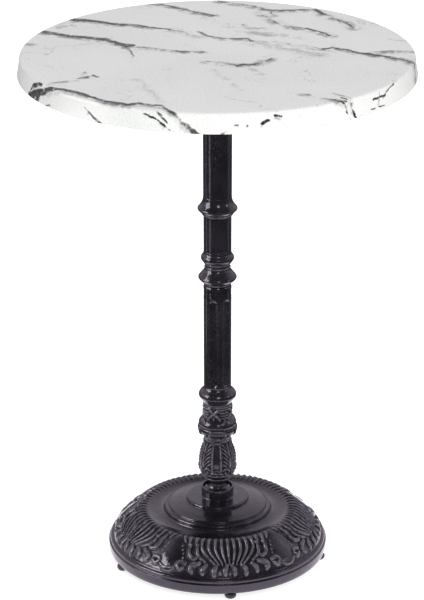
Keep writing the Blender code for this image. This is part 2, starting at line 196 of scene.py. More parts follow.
def plastic_material():
    """Black moulded glide with a fine spark-eroded grain and dust on its lower edge."""
    made, tree, shader, where = material("black_plastic", Specular_IOR_Level=0.4)
    grain = noise(tree, where, 1400.0, 2.0)
    height = wire(tree, "ShaderNodeSeparateXYZ", {0: where}).outputs["Z"]
    low_down = remap(tree, height, 0.0, 0.006, 1.0, 0.0)
    dust = maths(tree, "MULTIPLY", low_down, noise(tree, where, 200.0, 3.0))
    colour = blend_colour(tree, dust, (0.014, 0.014, 0.015), (0.075, 0.072, 0.068))
    tree.links.new(colour, shader.inputs["Base Color"])
    tree.links.new(remap(tree, grain, 0.3, 0.7, 0.42, 0.62), shader.inputs["Roughness"])
    bump(tree, shader, grain, 0.00008)
    return made


# Veins of the print: ink, half width and spread of the grey wash in millimetres, and points in
# centimetres on the unrolled surface, where past 40 cm from the middle they run down the rim.
VEINS = (
    (0.80, 1.3, 7, ((-33, 19), (-30, 20))),
    (0.95, 2.6, 9, ((-30, 24), (-27, 24), (-21, 21))),
    (0.85, 1.7, 9, ((-21, 21), (-17, 20), (-13, 18), (-10, 17))),
    (0.35, 0.9, 14, ((-10, 17), (-3, 12))),
    (0.85, 3.2, 11, ((-36, 15), (-29, 12), (-23, 9))),
    (0.90, 2.2, 9, ((-23, 9), (-19, 6), (-18, 4))),
    (0.90, 2.8, 5, ((-20, 6), (-17, 5))),
    (0.75, 1.5, 8, ((-18, 4), (-15, 4), (-12, 3), (-7, 1), (-3, 1))),
    (0.55, 0.9, 5, ((-18, 4), (-17, -1), (-17, -6))),
    (0.60, 1.0, 6, ((-36, 15), (-33, 13))),
    (0.75, 1.4, 10, ((-12, 36), (-9, 34), (-6, 31), (-1, 28))),
    (0.80, 1.6, 10, ((0, 38), (6, 35), (10, 32), (16, 31))),
    (0.90, 2.0, 9, ((16, 31), (19, 32), (20, 32), (22, 28))),
    (0.75, 1.2, 12, ((22, 28), (25, 24), (28, 18))),
    (0.55, 0.9, 8, ((11, 32), (12, 28))),
    (0.60, 1.0, 12, ((9, 29), (11, 25), (13, 21), (15, 19))),
    (0.80, 1.4, 10, ((15, 19), (18, 18), (22, 14), (23, 12))),
    (0.55, 1.0, 8, ((5, 21), (6, 18), (9, 18))),
    (0.45, 0.9, 10, ((7, 15), (10, 13), (13, 13))),
    (0.60, 1.8, 9, ((-4, 15), (-2, 12), (1, 10), (3, 10), (6, 10), (7, 8))),
    (0.40, 0.6, 4, ((7, 9), (14, 6), (20, 2))),
    (0.35, 0.6, 4, ((11, 8), (18, 5), (23, 1))),
    (0.35, 0.6, 4, ((10, 5), (15, 2), (20, -2))),
    (0.35, 0.6, 4, ((4, 16), (9, 15), (14, 14))),
    (0.25, 0.8, 16, ((7, 8), (13, 4), (20, -1))),
    (0.85, 1.5, 8, ((21, 3), (23, 4), (25, 3), (28, 0))),
    (1.00, 2.0, 10, ((28, 0), (30, 0), (34, -3))),
    (0.85, 1.4, 12, ((34, -3), (38, -6), (42, -9))),
    (0.60, 1.0, 9, ((31, 1), (36, 1), (41, 1))),
    (0.45, 0.8, 6, ((35, 10), (37, 9), (41, 9))),
    (0.75, 1.1, 10, ((-2, -6), (1, -7), (4, -9))),
    (1.00, 1.7, 9, ((4, -9), (5, -8), (7, -8))),
    (0.80, 1.2, 10, ((7, -8), (9, -6), (11, -4))),
    (0.45, 0.9, 8, ((6, -9), (8, -14))),
    (1.00, 3.0, 8, ((-40, -18), (-37, -20), (-34, -22))),
    (1.00, 2.0, 3, ((-41, -20), (-38, -21), (-35, -21))),
    (1.00, 1.6, 3, ((-40, -17), (-37, -18), (-34, -20))),
    (0.60, 0.8, 3, ((-38, -23), (-35, -26))),
    (0.85, 2.6, 9, ((-34, -22), (-29, -25), (-25, -28))),
    (0.90, 1.9, 8, ((-25, -28), (-21, -32), (-17, -34))),
    (0.90, 2.2, 8, ((-17, -34), (-15, -33), (-11, -35))),
    (0.70, 1.9, 6, ((-11, -35), (-9, -38), (-7, -41), (-3, -45))),
    (0.50, 0.9, 6, ((-32, -20), (-27, -18), (-26, -13))),
    (0.80, 2.0, 5, ((-27, -17), (-25, -16))),
    (0.75, 1.5, 5, ((-24, -15), (-23, -16))),
    (0.75, 0.8, 3, ((-27, -30), (-26, -33), (-24, -37))),
    (0.80, 1.0, 3, ((-14, -38), (-11, -41), (-8, -44))),
    (0.75, 0.8, 3, ((-12, -38), (-9, -42))),
    (0.95, 1.3, 2, ((1, -44), (2, -43))),
    (0.95, 1.2, 2, ((3, -42), (4, -42))),
    (0.95, 1.3, 2, ((5, -43), (6, -42))),
    (0.95, 1.1, 2, ((3, -44), (4, -44))),
    (0.95, 1.2, 2, ((9, -41), (10, -40))),
    (0.95, 1.1, 2, ((11, -39), (12, -39))),
    (0.60, 0.8, 6, ((14, -27), (17, -28), (20, -30))),
    (0.80, 1.2, 6, ((20, -30), (23, -32), (26, -31))),
    (0.95, 1.0, 2, ((22, -31), (24, -32), (26, -33), (28, -34))),
    (1.00, 1.2, 3, ((23, -30), (25, -31), (27, -32), (29, -33))),
    (0.95, 0.9, 2, ((25, -29), (28, -30), (30, -31))),
    (0.55, 0.9, 6, ((22, -27), (24, -29), (26, -31))),
    (0.80, 0.9, 2, ((31, -27), (33, -24), (34, -20))),
    (0.80, 0.7, 2, ((32, -29), (35, -25))),
    (0.30, 0.7, 3, ((30, -22), (33, -27))),
    (0.18, 0.7, 9, ((-16, -18), (-13, -25), (-10, -33))),
    (0.18, 0.7, 8, ((-1, -11), (2, -17), (4, -24))),
    (0.70, 1.3, 12, ((-38, 6), (-44, 4))),
    (0.75, 1.4, 12, ((-14, 37), (-18, 41))),
    (0.60, 1.2, 10, ((33, 22), (38, 22))),
)
# Threads are broken and softened by noise, so they are drawn wider than they come out. So is the
# wash, which also lies a little to the front of its thread.
THREAD_SPREAD = 3.3
WASH_SPREAD = 1.8
WASH_SHIFT = 0.006
CM = 0.01


def vein_group():
    """Ink of one straight stretch of a vein: a dark thread and the grey wash round it."""
    group = bpy.data.node_groups.new("vein_stretch", "ShaderNodeTree")
    face = group.interface
    for name, kind in (
        ("Point", "Vector"), ("Start", "Vector"), ("Run", "Vector"), ("Per length", "Float"),
        ("Half width", "Float"), ("Wash width", "Float"), ("Ink", "Float"),
        ("Thread so far", "Float"), ("Wash so far", "Float"),
    ):
        face.new_socket(name, in_out="INPUT", socket_type=f"NodeSocket{kind}")
    for name, kind in (("Thread", "Float"), ("Wash", "Float"), ("Point", "Vector")):
        face.new_socket(name, in_out="OUTPUT", socket_type=f"NodeSocket{kind}")
    given = group.nodes.new("NodeGroupInput").outputs
    result = group.nodes.new("NodeGroupOutput").inputs
    offset = vector_maths(group, "SUBTRACT", given["Point"], given["Start"])
    along = maths(
        group, "MULTIPLY", vector_maths(group, "DOT_PRODUCT", offset, given["Run"]), given["Per length"],
        clamp=True,
    )
    nearest = vector_maths(group, "SCALE", given["Run"], along)
    away = vector_maths(group, "DISTANCE", offset, nearest)
    thread = maths(group, "SUBTRACT", 1.0, maths(group, "DIVIDE", away, given["Half width"]), clamp=True)
    thread = maths(group, "MULTIPLY", thread, 2.6, clamp=True)
    thread = maths(group, "MULTIPLY", thread, given["Ink"])
    shifted = vector_maths(group, "ADD", offset, (0.0, WASH_SHIFT, 0.0))
    away = vector_maths(group, "DISTANCE", shifted, nearest)
    wash = maths(group, "SUBTRACT", 1.0, maths(group, "DIVIDE", away, given["Wash width"]), clamp=True)
    wash = maths(group, "MULTIPLY", maths(group, "POWER", wash, 1.1), given["Ink"])
    thread = maths(group, "MAXIMUM", thread, given["Thread so far"])
    wash = maths(group, "MAXIMUM", wash, given["Wash so far"])
    group.links.new(thread, result["Thread"])
    group.links.new(wash, result["Wash"])
    # The point goes on by way of the results, so that the stretches are worked out one at a time.
    nothing = maths(group, "MULTIPLY", maths(group, "ADD", thread, wash), 1e-12)
    group.links.new(vector_maths(group, "ADD", given["Point"], nothing), result["Point"])
    return group


def marble_material():
    """White melamine with a grey marble print that runs over the edge and down the rim."""
    made, tree, shader, where = material(
        "marble_print", Roughness=0.4, Specular_IOR_Level=0.4, Coat_Weight=0.05, Coat_Roughness=0.2
    )
    split = wire(tree, "ShaderNodeSeparateXYZ", {0: where}).outputs
    flat = wire(tree, "ShaderNodeCombineXYZ", {"X": split["X"], "Y": split["Y"], "Z": 0.0}).outputs[0]
    radius = maths(tree, "MAXIMUM", vector_maths(tree, "LENGTH", flat), 0.01)
    drop = maths(tree, "MAXIMUM", maths(tree, "SUBTRACT", HEIGHT, split["Z"]), 0.0)
    unroll = maths(tree, "DIVIDE", maths(tree, "ADD", radius, drop), radius)
    sheet = vector_maths(tree, "SCALE", flat, unroll)

    def shaken(scale, size, detail):
        wobble = noise(tree, sheet, scale, detail, 0.6, "Color")
        return vector_maths(tree, "SCALE", vector_maths(tree, "SUBTRACT", wobble, (0.5, 0.5, 0.5)), size)

    point = vector_maths(tree, "ADD", sheet, shaken(11.0, 0.030, 3.0))
    point = vector_maths(tree, "ADD", point, shaken(70.0, 0.0055, 4.0))
    group = vein_group()
    thread, wash, reached = 0.0, 0.0, point
    for ink, half_width, spread, points in VEINS:
        for start, end in zip(points[:-1], points[1:]):
            run = [CM * (e - s) for s, e in zip(start, end)]
            inputs = {
                "Point": reached,
                "Start": (CM * start[0], CM * start[1], 0.0),
                "Run": (*run, 0.0),
                "Per length": 1 / (run[0] ** 2 + run[1] ** 2),
                "Half width": THREAD_SPREAD * half_width * MM,
                "Wash width": WASH_SPREAD * spread * MM,
                "Ink": ink,
                "Thread so far": thread,
                "Wash so far": wash,
            }
            stretch = wire(tree, "ShaderNodeGroup", inputs, node_tree=group)
            thread, wash, reached = (stretch.outputs[k] for k in ("Thread", "Wash", "Point"))
    broken = remap(tree, noise(tree, sheet, 75.0, 5.0, 0.75), 0.36, 0.52, 0.22, 1.0)
    thread = maths(tree, "MULTIPLY", thread, broken)
    feather = remap(tree, noise(tree, point, 34.0, 5.0, 0.7), 0.40, 0.62)
    wash = maths(tree, "MULTIPLY", wash, feather)
    wash = maths(tree, "MULTIPLY", wash, remap(tree, drop, 0.002, 0.012, 0.86, 0.45))
    ridge = maths(tree, "ABSOLUTE", maths(tree, "SUBTRACT", noise(tree, point, 5.5, 5.0, 0.55), 0.5))
    faint = remap(tree, noise(tree, sheet, 7.0, 2.0), 0.45, 0.62, 0.0, 0.16)
    hair = maths(tree, "MULTIPLY", remap(tree, ridge, 0.0, 0.006, 1.0, 0.0), faint)
    hair = maths(tree, "MULTIPLY", hair, remap(tree, drop, 0.0, 0.004, 1.0, 0.0))
    specks = remap(tree, noise(tree, sheet, 420.0, 2.0, 0.6), 0.60, 0.72, 0.0, 0.16)
    ink = maths(tree, "MAXIMUM", maths(tree, "MAXIMUM", thread, wash), maths(tree, "MAXIMUM", hair, specks))
    lightness = maths(tree, "POWER", maths(tree, "SUBTRACT", 1.0, ink, clamp=True), 2.3)
    cloud = remap(tree, noise(tree, sheet, 3.4, 4.0, 0.6), 0.3, 0.75)
    ground = blend_colour(tree, cloud, (0.742, 0.752, 0.732), (0.690, 0.700, 0.682))
    grain = remap(tree, noise(tree, sheet, 230.0, 3.0, 0.8), 0.36, 0.64, 0.88, 1.0)
    ground = vector_maths(tree, "SCALE", ground, grain)
    colour = blend_colour(tree, lightness, (0.014, 0.014, 0.016), ground)
    tree.links.new(colour, shader.inputs["Base Color"])
    bump(tree, shader, noise(tree, where, 700.0, 2.0), 0.00003)
    return made


def underside_material():
    """The moulded chipboard under the top, sealed in a plain backing with a fine press grain."""
    made, tree, shader, where = material("moulded_underside", Specular_IOR_Level=0.3)
    chips = noise(tree, where, 160.0, 4.0, 0.65)
    tone = remap(tree, chips, 0.35, 0.68)
    colour = blend_colour(tree, tone, (0.115, 0.090, 0.066), (0.062, 0.047, 0.034))
    tree.links.new(colour, shader.inputs["Base Color"])
    tree.links.new(remap(tree, chips, 0.3, 0.7, 0.5, 0.66), shader.inputs["Roughness"])
    bump(tree, shader, chips, 0.00025)
    return made


ENAMEL = enamel_material()
STEEL = steel_material()
PLASTIC = plastic_material()
MARBLE = marble_material()
UNDERSIDE = underside_material()


# --- outlines, in millimetres of (radius, height) ---
def spline(points, steps=6):
    """A smooth run through every point (Catmull-Rom)."""
    knots = np.array(points, float)
    knots = np.vstack([2 * knots[0] - knots[1], knots, 2 * knots[-1] - knots[-2]])
    run = [knots[1]]
    for index in range(1, len(knots) - 2):
        a, b, c, d = knots[index - 1:index + 3]
        for step in range(1, steps + 1):
            t = step / steps
            run.append(
                0.5 * (2 * b + (c - a) * t + (2 * a - 5 * b + 4 * c - d) * t**2
                       + (3 * b - a - 3 * c + d) * t**3)
            )
    return [tuple(p) for p in run]


def arc(centre, radius, start, end, steps=5):
    """Points on an arc from one angle to another, in degrees."""
    turns = np.radians(np.linspace(start, end, steps + 1))
    return [(centre[0] + radius * math.cos(a), centre[1] + radius * math.sin(a)) for a in turns]


def join(*runs):
    """Runs laid end to end, without repeated points."""
    line = []
    for run in runs:
        for point in run:
            if not line or math.dist(point, line[-1]) > 0.02:
                line.append(tuple(point))
    return line


def spaced(line, step, closed=True):
    """The same line with long stretches split, so that no gap is over step."""
    pairs = list(zip(line, line[1:] + line[:1] if closed else line[1:]))
    out = []
    for a, b in pairs:
        count = max(1, math.ceil(math.dist(a, b) / step))
        out += [(a[0] + (b[0] - a[0]) * i / count, a[1] + (b[1] - a[1]) * i / count) for i in range(count)]
    return out if closed else out + [line[-1]]


# --- meshes ---
BORE_RADIUS = 21.5
# Heights of the column's small rings, where the enamel gets a painted highlight band.
HIGHLIGHT_RING_HEIGHTS = (765.6, 658.3, 650.3, 614.4, 342.8, 270.4, 174.9)
RING_HALF_WIDTH = 1.7
RING_HIGHLIGHT = 0.55


def place(piece, body, node):
    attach(piece, body)
    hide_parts(node)


def band(upper, lower, columns, side=1):
    """The faces between two closed rows of points, given by the rows' numbers."""
    faces = []
    for column in range(columns):
        beside = (column + 1) % columns
        face = (upper * columns + column, upper * columns + beside,
                lower * columns + beside, lower * columns + column)
        faces.append(face[::side])
    return faces


def new_object(name, verts, faces, surface, sharp=38):
    """A smooth-shaded mesh object, with its edges sharp past that many degrees."""
    mesh = bpy.data.meshes.new(name)
    mesh.from_pydata([tuple(v) for v in verts], [], faces)
    mesh.materials.append(surface)
    mesh.shade_smooth()
    mesh.set_sharp_from_angle(angle=math.radians(sharp))
    made = bpy.data.objects.new(name, mesh)
    bpy.context.scene.collection.objects.link(made)
    return made


def turned(name, outline, columns, surface, ring=True, relief=None, centre=(0.0, 0.0), sharp=38, painted_light_gain=1.0):
    """Turns an outline in millimetres about an upright axis. Column 0 faces the front, turning right.

    relief(turn, radius, height) gives how far, in millimetres, each point stands out of the outline.
    The attribute crest says how far a point stands above those round it, times the given gain, plus bands
    at the small rings; the enamel paints a highlight where it is high and shade where it is low.
    """
    line = np.array(outline, float)
    after = np.roll(line, -1, 0) - np.roll(line, 1, 0)
    if not ring:
        after[0], after[-1] = line[1] - line[0], line[-1] - line[-2]
    area = np.sum(line[:, 0] * np.roll(line[:, 1], -1) - np.roll(line[:, 0], -1) * line[:, 1])
    side = 1 if area > 0 else -1
    out = side * np.stack([after[:, 1], -after[:, 0]], 1)
    out /= np.maximum(np.linalg.norm(out, axis=1, keepdims=True), 1e-9)
    turn = np.arange(columns) * 2 * math.pi / columns
    stand = np.zeros((len(line), columns))
    if relief:
        stand = relief(np.degrees(turn)[None, :], line[:, 0][:, None], line[:, 1][:, None])
        stand = np.broadcast_to(stand, (len(line), columns))
    radius = (line[:, 0][:, None] + out[:, 0][:, None] * stand) * MM
    height = (line[:, 1][:, None] + out[:, 1][:, None] * stand) * MM
    x = radius * np.sin(turn) + centre[0]
    y = -radius * np.cos(turn) + centre[1]
    verts = np.stack([x, y, height], 2).reshape(-1, 3)
    faces = []
    last = len(line) if ring else len(line) - 1
    for row in range(last):
        faces += band(row, (row + 1) % len(line), columns, side)
    if not ring:
        first = list(range(columns))
        final = [(len(line) - 1) * columns + column for column in range(columns)]
        faces.append(first[::-side])
        faces.append(final[::side])
    made = new_object(name, verts, faces, surface, sharp)
    near = (-3, 0, 3)
    around = sum(np.roll(stand, (row, column), (0, 1)) for row in near for column in near) / 9
    # Bands of painted highlight at the small rings, added to the crest value.
    nearest = np.abs(line[:, 1][:, None] - np.array(HIGHLIGHT_RING_HEIGHTS)).min(1)
    ring_highlight = RING_HIGHLIGHT * np.exp(-((nearest / RING_HALF_WIDTH) ** 2)) * (line[:, 0] > BORE_RADIUS + 1)
    # crest is the mask of the enamel's painted highlight where high and painted shade where low.
    crest = made.data.attributes.new("crest", "FLOAT", "POINT")
    shown = np.clip(painted_light_gain * (stand - around) + ring_highlight[:, None], -1, 1)
    crest.data.foreach_set("value", shown.astype(np.float32).ravel())
    return made


# --- relief: rounded strokes laid on the flat, joined by taking the higher ---
def stroke(x, y, path, widths, height):
    """Height of a rounded ridge along a smooth path, its half width going evenly through widths."""
    line = np.array(spline(path, 5))
    along = np.linspace(0, 1, len(line))
    half = np.interp(along, np.linspace(0, 1, len(widths)), widths)
    best = np.zeros(np.broadcast(x, y).shape)
    for a, b, wa, wb in zip(line[:-1], line[1:], half[:-1], half[1:]):
        run = b - a
        t = np.clip(((x - a[0]) * run[0] + (y - a[1]) * run[1]) / max(run @ run, 1e-9), 0, 1)
        away = np.hypot(x - a[0] - t * run[0], y - a[1] - t * run[1])
        width = wa + (wb - wa) * t
        rise = height * np.minimum(1, width / 3.0) * np.clip(1 - (away / width) ** 2, 0, 1) ** 0.8
        best = np.maximum(best, rise)
    return best


def folded(turn, phase, count):
    """Degrees from the nearest of count even places, the same on both sides of each."""
    pitch = 360 / count
    return np.abs((turn - phase + pitch / 2) % pitch - pitch / 2)


# --- the column's castings, top to bottom ---
FLUTE_COUNT = 6
FLUTE_PHASE = -18.0
FLUTE_HALF_WIDTH = 17.5
FLUTE_LOW, FLUTE_HIGH = 388.0, 583.0
FLUTE_END = 10.0
COLLAR_COUNT = 4
COLLAR_PHASE = -15.0
COLLAR_RADIUS = 29.0
COLLAR_HALF_PANEL = 22.8
CROSSING_HEIGHT = 329.5
EAR_RADIUS = 40.0
BALUSTER_COUNT = 4
BALUSTER_PHASE = -3.0
BALUSTER_RADIUS = 38.0


def bore(low, high):
    """The inside of a casting, bottom to top, with the spigot that centres it on the one below."""
    spigot, clear, end = 21.2, 17.5, low - 7.7
    return [(spigot, low), (spigot, end), (clear, end), (clear, low + 6), (BORE_RADIUS, low + 10),
            (BORE_RADIUS, high)]


def flutes(turn, radius, height):
    """Six shallow flutes with ball-nosed ends and slightly raised edges."""
    end = np.minimum(height - FLUTE_LOW, FLUTE_HIGH - height)
    inset = np.clip(1 - end / FLUTE_END, 0, 1)
    off = folded(turn, FLUTE_PHASE, FLUTE_COUNT) / FLUTE_HALF_WIDTH
    away = np.hypot(off, inset)
    hollow = np.sqrt(np.clip(1 - away**2, 0, 1))
    edge = np.exp(-(((away - 1.08) / 0.12) ** 2))
    return np.where(radius > 26, (0.4 * edge - 3.1 * hollow) * (end > -4), 0.0)


def strokes(x, y, *drawn):
    """The highest of several strokes, each given as (points, half widths, rise)."""
    stand = np.zeros(np.broadcast(x, y).shape)
    for points, widths, rise in drawn:
        stand = np.maximum(stand, stroke(x, y, points, widths, rise))
    return stand


def collar_leaves(turn, radius, height):
    """Crossed bands with waved leaf strokes between them, above a ring that has four framed ears."""
    cross = np.radians(folded(turn, COLLAR_PHASE, COLLAR_COUNT)) * COLLAR_RADIUS
    far = COLLAR_HALF_PANEL - cross
    up = height - CROSSING_HEIGHT
    stand = strokes(
        cross, up,
        ([(15.5, 12.5), (9.0, 8.0), (3.8, 3.0), (0, -0.4)], [2.8, 3.7, 3.7, 3.5], 4.2),
        ([(0, 0), (4.2, -4.2), (8.8, -8.6), (12.4, -13.6)], [3.5, 3.7, 3.6, 2.8], 4.2),
        ([(0, 7.5), (0, 11.5)], [1.6, 2.6], 3.4),
        ([(0, -8.5), (0, -12.5)], [1.8, 2.6], 3.4),
    )
    waves = [([(0, low), (3.2, low + 2.6), (7.0, low + 1.2), (11.5, low + 4.8)], [1.7, 2.1, 2.0, 1.2], 4.4)
             for low in (-13.5, -7.0, -0.5, 6.0)]
    waves.append(([(0, -16), (3.2, -19.4), (7.4, -21.6)], [2.2, 2.8, 1.8], 2.2))
    stand = np.maximum(stand, strokes(far, up, *waves))
    beside = np.radians(folded(turn, 0.0, COLLAR_COUNT)) * EAR_RADIUS
    ear = np.clip((17.5 - beside) / 2.5, 0, 1) * np.clip((height - 274.5) / 2.0, 0, 1)
    frame = strokes(
        beside, height,
        ([(0, 291.5), (9, 291.5), (15.5, 289.5)], [1.8, 1.8, 2.4], 2.4),
        ([(15.5, 289.5), (17.0, 284.0), (14.0, 278.0)], [2.4, 3.0, 2.4], 3.0),
        ([(0, 276.6), (7, 276.6), (14.0, 278.0)], [1.8, 1.8, 2.4], 2.4),
    )
    ears = np.where(height < 293.0, np.maximum(1.2 * ear, frame), 0.0)
    return np.where((radius > 26) & (height < 341.0), np.maximum(stand, ears), 0.0)


def baluster_leaves(turn, radius, height):
    """Beaded ribs by narrow sunk panels, leaves veined downward between them, and scrolls below."""
    cross = np.radians(folded(turn, BALUSTER_PHASE, BALUSTER_COUNT)) * BALUSTER_RADIUS
    far = BALUSTER_RADIUS * math.pi / BALUSTER_COUNT - cross
    rib = 9.6
    drawn = [([(rib, 256), (rib, 230), (rib, 203)], [2.4, 3.2, 3.0], 2.2)]
    for index in range(7):
        high = 252.0 - 6.9 * index
        drawn.append(([(rib, high), (rib, high - 1.0)], [2.6, 2.6], 3.8))
    for index in range(6):
        high = 259.0 - 8.4 * index
        vein = [(rib + 3.2, high), (rib + 7.6, high - 2.6), (rib + 12.6, high - 7.4),
                (rib + 18.4, high - 14.0)]
        drawn.append((vein, [1.8, 2.4, 2.5, 1.7], 4.2))
    drawn += [
        ([(0, 261), (5.0, 259.6), (rib, 262)], [2.8, 3.0, 2.2], 3.2),
        ([(0, 203.0), (7, 201.6), (13, 203.6)], [2.7, 2.9, 2.0], 4.0),
        ([(0, 195.4), (7, 196.2), (13.5, 194.0)], [2.7, 2.9, 2.0], 4.0),
        ([(0, 188.4), (8, 187.4), (16, 189.0), (24, 186.6), (30, 187.4)], [2.6, 2.8, 2.8, 2.8, 2.4], 3.6),
        ([(14.5, 203), (19.5, 206.4), (26.0, 202.6), (27.0, 195.6), (22.4, 192.0), (19.0, 196.0),
          (22.0, 199.0)], [2.2, 3.2, 3.6, 3.4, 2.9, 2.4, 2.0], 4.6),
    ]
    stand = strokes(cross, height, *drawn)
    stand = np.maximum(stand, strokes(far, height, ([(0, 256), (0, 232), (0, 208)], [3.0, 4.6, 3.4], 3.6)))
    return np.where((radius > 26.5) & (height > 179.5), stand, 0.0)


def column_castings():
    """Eight castings: each outline is the outside, top to bottom, and then the bore."""
    tube = [(29.8, 1039.7), (29.8, 1036), (29.4, 804.2), (29.1, 803.4), (25.5, 803.4), (25.5, 1039.7)]
    bell = join(
        [(25.2, 813), (25.2, 803.0), (29.2, 803.0), (29.7, 802.2)],
        spline([(29.7, 801.0), (29.9, 798.6), (30.9, 794.0), (33.6, 788.2), (37.2, 783.0), (39.6, 780.2)]),
        spline([(40.4, 779.2), (40.9, 777.8), (40.9, 776.2), (40.2, 774.8)]),
        spline([(39.4, 774.0), (36.6, 771.0), (33.4, 768.8), (31.3, 767.6)]),
        arc((30.9, 765.6), 1.5, 70, -80, 6),
        spline([(30.2, 763.6), (29.3, 762.6), (29.0, 761.2), (28.9, 760.4)]),
        bore(760.4, 813),
    )
    drum = join([(28.3, 759.7), (28.7, 759.2), (28.7, 756), (28.5, 690), (28.6, 687), (28.3, 686.4)],
                bore(686.3, 759.7))
    double = join(
        [(28.3, 685.7), (28.6, 685.2)],
        spline([(28.6, 683.0), (28.9, 680.6), (30.4, 677.8), (32.4, 675.2), (33.4, 673.6)]),
        spline([(33.9, 672.8), (34.2, 671.0), (34.2, 668.8), (33.8, 667.4)]),
        spline([(33.3, 666.6), (31.0, 662.6), (28.4, 660.4), (26.6, 659.8)]),
        arc((26.3, 658.3), 1.3, 75, -75, 6),
        spline([(25.9, 656.8), (25.3, 655.4), (25.2, 653.4), (25.5, 652.0)]),
        arc((26.1, 650.3), 1.3, 75, -75, 6),
        spline([(26.2, 648.8), (27.0, 645.8), (29.4, 641.8), (33.6, 636.6), (37.0, 632.4), (38.6, 630.2)]),
        spline([(39.2, 629.2), (39.6, 627.8), (39.5, 626.2), (38.8, 625.0)]),
        spline([(38.0, 624.0), (35.6, 621.2), (32.0, 618.4), (28.6, 616.6), (27.2, 616.2)]),
        arc((26.9, 614.4), 1.5, 75, -75, 6),
        spline([(26.9, 612.8), (26.8, 611.6), (26.7, 610.8)]),
        bore(610.8, 685.7),
    )
    shaft = join(
        spline([(27.6, 610.2), (28.4, 608.6), (29.0, 606.6), (28.9, 603.4), (28.5, 599.0)]),
        [(28.5, 590), (28.2, 386), (27.9, 383.4)],
        bore(383.3, 610.2),
    )
    knop = join(
        [(27.9, 382.7), (28.2, 382.2)],
        spline([(28.5, 381.2), (30.0, 378.8), (33.2, 375.4), (36.4, 372.0), (38.0, 369.4)]),
        spline([(38.6, 368.6), (39.1, 366.4), (39.1, 363.6), (38.7, 361.8)]),
        spline([(38.2, 361.0), (36.4, 357.4), (33.0, 353.2), (30.8, 350.2), (29.6, 347.8)]),
        spline([(29.4, 347.2), (29.3, 346.0), (29.2, 344.8)]),
        bore(344.8, 382.7),
    )
    collar = join(
        [(29.3, 344.2)], arc((29.2, 342.8), 1.3, 80, -80, 6),
        [(28.6, 341.2), (27.6, 340.4), (27.5, 317.4)],
        spline([(27.9, 316.0), (30.8, 313.6), (35.4, 309.2), (38.0, 305.4)]),
        spline([(38.9, 304.4), (39.3, 302.4), (39.3, 298.8), (38.8, 296.8)]),
        [(37.4, 295.9), (37.3, 294.6)],
        spline([(39.2, 293.4), (40.2, 291.6), (40.4, 288.4), (40.2, 284.8), (39.2, 282.0)]),
        spline([(38.4, 281.0), (35.6, 278.0), (31.6, 274.8), (29.4, 272.4)]),
        arc((28.4, 270.4), 1.3, 70, -80, 5),
        spline([(28.3, 268.8), (27.5, 267.6), (27.4, 265.8)]),
        bore(265.8, 344.2),
    )
    belly = join(
        [(27.3, 265.2), (27.4, 264.6)],
        spline([(27.0, 262.4), (27.4, 257.0), (29.6, 248.6), (33.2, 239.4), (35.7, 230.4), (37.2, 221.4),
                (37.7, 211.6), (37.3, 202.0), (35.4, 192.8), (31.6, 183.8), (29.0, 179.4)], 5),
        [(28.6, 178.6), (27.0, 177.9), (26.2, 177.0)],
        arc((25.9, 174.9), 1.8, 70, -75, 6),
        spline([(25.2, 172.8), (22.6, 169.4), (20.4, 166.6), (19.4, 163.4), (19.6, 157.6), (22.0, 153.2),
                (26.0, 150.9)]),
        [(28.0, 149.9), (28.5, 148.9), (28.5, 138.9)],
        [(7.5, 138.9), (7.5, 172.5), (15.0, 180.5), (21.5, 190.5), (21.5, 265.2)],
    )
    made = (
        ("upper_tube", tube, 96, 8.0, None, 1.0),
        ("bell_collar", bell, 96, 4.0, None, 1.0),
        ("plain_drum", drum, 96, 6.0, None, 1.0),
        ("double_knop", double, 96, 4.0, None, 1.0),
        ("fluted_shaft", shaft, 216, 1.8, flutes, 0.15),
        ("lower_knop", knop, 96, 4.0, None, 1.0),
        ("leaf_collar", collar, 288, 0.8, collar_leaves, 2.2),
        ("baluster", belly, 320, 0.8, baluster_leaves, 1.6),
    )
    for node, outline, columns, step, relief, painted_light_gain in made:
        line = spaced(outline, step)
        if relief:
            # The bore has no relief, so it keeps only the outline's own rows.
            line = [p for p in line if p[0] > BORE_RADIUS + 1.5 or p in outline]
        piece = turned(f"column_{node}", line, columns, ENAMEL, relief=relief, painted_light_gain=painted_light_gain)
        place(piece, BODY, node)


# --- the base ---
BASE_FANS = 5
BASE_PHASE = 7.0
LEAF_ANGLE = 180 / BASE_FANS
# The relief of half a fan, in degrees from the fan's middle and millimetres from the axis. The
# leaf between two fans has its midrib at LEAF_ANGLE. LEAF_REACH is its half width in degrees.
LEAF_RADII = [157, 162, 168, 176, 185, 195, 204, 210, 215, 218]
LEAF_REACH = [0.8, 3.4, 5.2, 6.8, 8.0, 8.8, 8.8, 7.6, 5.0, 0.2]
RIB_ANGLES = (0.0, 4.1, 8.3, 12.6, 17.0)
FINGER_ANGLES = (21.6, 26.4, 31.2, 36.0)
# Rolled strokes round the leaf: points, half widths and rise.
FAN_STROKES = (
    (((19.6, 172), (20.2, 182), (18.6, 193), (14.2, 201)), (2.6, 4.6, 4.4, 2.6), 4.8),
    (((24.6, 174), (25.4, 184), (24.0, 193), (20.8, 197), (18.8, 192.6), (20.4, 188.4)),
     (2.6, 4.4, 4.8, 4.4, 3.4, 2.2), 5.4),
    (((17.2, 203), (20.4, 206), (22.6, 211.4), (21.0, 215.8)), (4.0, 5.6, 5.6, 3.6), 4.6),
    (((25.6, 206.5), (28.8, 205.4), (30.4, 209.8), (28.4, 214.2), (26.2, 212)),
     (3.6, 4.8, 5.0, 4.4, 3.0), 4.8),
    (((31.0, 213), (33.6, 216), (36, 216.8)), (3.4, 4.2, 4.4), 3.6),
)
# Plump drops at the fan's foot: where each starts and ends, its half width at both, its rise.
FAN_DROPS = ((0.9, 206.0, 2.6, 213.4, 3.4, 6.4, 4.4), (7.4, 207.5, 8.8, 214.0, 4.2, 7.0, 4.4),
             (13.2, 206.4, 15.2, 213.0, 4.2, 6.6, 4.2))
